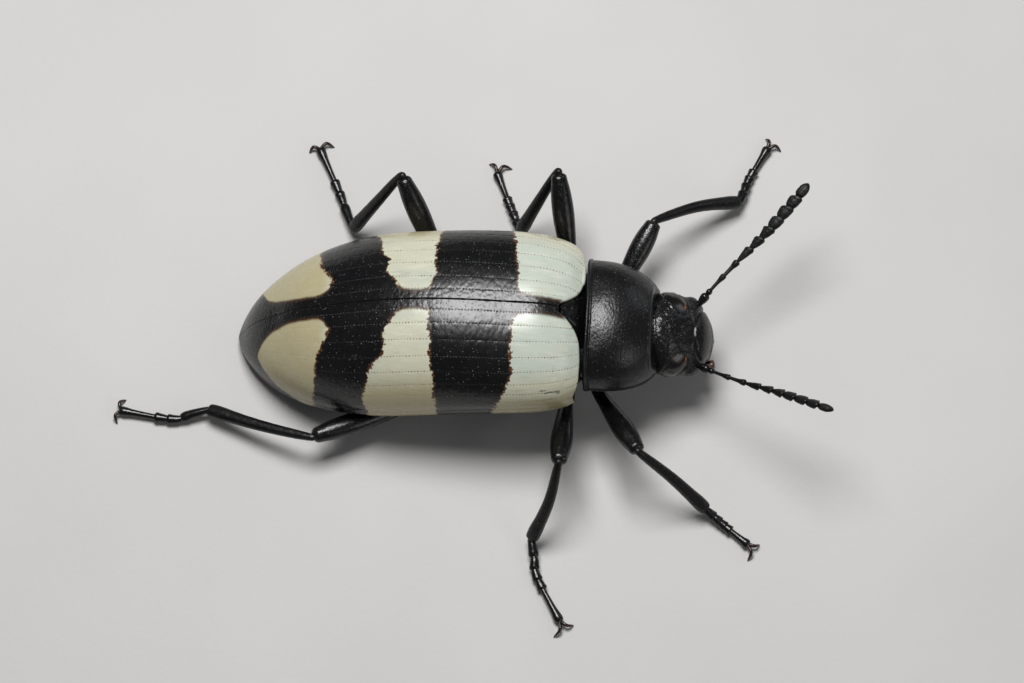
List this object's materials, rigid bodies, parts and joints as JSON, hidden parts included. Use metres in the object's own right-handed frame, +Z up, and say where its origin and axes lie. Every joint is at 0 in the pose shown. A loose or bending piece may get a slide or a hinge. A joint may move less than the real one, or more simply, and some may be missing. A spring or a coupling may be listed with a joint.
{
  "type": "darkling beetle",
  "caption": "Life-size darkling beetle: oval body, glossy black with cream bands on the wing cases, standing on splayed legs with beaded feelers spread forward.",
  "frame": {"origin": "middle of the footprint, at the level of the floor that the feet stand on", "axes": "+X towards the head along the body, +Y to the animal's left, +Z up"},
  "size_m": [0.0212, 0.016, 0.0046],
  "materials": {
    "black_cuticle": "glossy black, finely punctured",
    "dull_black_cuticle": "dull black with a fine grain",
    "brown_cuticle": "dark red-brown, smooth",
    "eyes": "very glossy dark brown with fine facets",
    "wing_cases": "satin cream with jagged black bands and rows of fine pits"
  },
  "bodies": {
    "root": {"abdomen": "black_cuticle", "antenna_left": "dull_black_cuticle", "antenna_right": "dull_black_cuticle", "elytron_left": "wing_cases", "elytron_right": "wing_cases", "eye_left": "eyes", "eye_right": "eyes", "head_capsule": "black_cuticle", "labrum": "black_cuticle", "leg_front_left_coxa": "black_cuticle", "leg_front_left_femur": "black_cuticle", "leg_front_left_tarsus": "dull_black_cuticle", "leg_front_left_tibia": "black_cuticle", "leg_front_right_coxa": "black_cuticle", "leg_front_right_femur": "black_cuticle", "leg_front_right_tarsus": "dull_black_cuticle", "leg_front_right_tibia": "black_cuticle", "leg_hind_left_coxa": "black_cuticle", "leg_hind_left_femur": "black_cuticle", "leg_hind_left_tarsus": "dull_black_cuticle", "leg_hind_left_tibia": "black_cuticle", "leg_hind_right_coxa": "black_cuticle", "leg_hind_right_femur": "black_cuticle", "leg_hind_right_tarsus": "dull_black_cuticle", "leg_hind_right_tibia": "black_cuticle", "leg_middle_left_coxa": "black_cuticle", "leg_middle_left_femur": "black_cuticle", "leg_middle_left_tarsus": "dull_black_cuticle", "leg_middle_left_tibia": "black_cuticle", "leg_middle_right_coxa": "black_cuticle", "leg_middle_right_femur": "black_cuticle", "leg_middle_right_tarsus": "dull_black_cuticle", "leg_middle_right_tibia": "black_cuticle", "mandible_left": "black_cuticle", "mandible_right": "black_cuticle", "palp_left": "brown_cuticle", "palp_right": "brown_cuticle", "prothorax": "black_cuticle", "pterothorax": "black_cuticle", "scutellum": "black_cuticle"}
  },
  "joints": []
}
